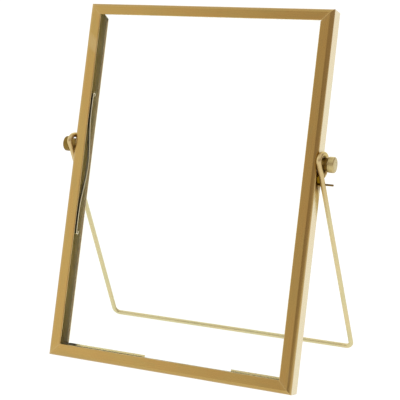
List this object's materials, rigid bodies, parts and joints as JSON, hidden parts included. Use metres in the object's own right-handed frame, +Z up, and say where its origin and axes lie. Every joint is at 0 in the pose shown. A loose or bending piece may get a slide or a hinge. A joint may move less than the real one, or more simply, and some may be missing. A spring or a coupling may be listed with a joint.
{
  "type": "floating glass picture frame on a folding wire stand",
  "caption": "Brass frame of folded channel that holds a pair of clear glass panes and leans back on a folding wire stand held by thumb screws.",
  "frame": {"origin": "on the surface that the frame stands on, under the middle of the whole object with its stand open", "axes": "+Z up; the glass faces -Y and leans back; the stand reaches out towards +Y; +X is to the right of someone who faces the glass"},
  "size_m": [0.1464, 0.0804, 0.1765],
  "materials": {
    "rail_brass": "satin rolled sheet, slightly tarnished",
    "wire_brass": "bright drawn wire",
    "turned_brass": "turned, lightly tarnished",
    "spring_brass": "dull rolled strip",
    "clear_glass": "clear float glass with ground edges"
  },
  "bodies": {
    "frame": {"rail_left": "rail_brass", "rail_right": "rail_brass", "rail_top": "rail_brass", "rail_bottom": "rail_brass", "glass_front": "clear_glass", "glass_back": "clear_glass", "spring_left": "spring_brass", "spring_right": "spring_brass", "thumb_screw_left": "turned_brass", "thumb_screw_right": "turned_brass", "stop_pin": "turned_brass"},
    "stand": {"wire_stand": "wire_brass"}
  },
  "joints": [
    {"name": "stand_swing", "type": "hinge", "parent": "frame", "child": "stand", "pos_m": [0, -0.00519, 0.10546], "axis": [-1, 0, 0], "range_deg": [0, 39.4]}
  ]
}
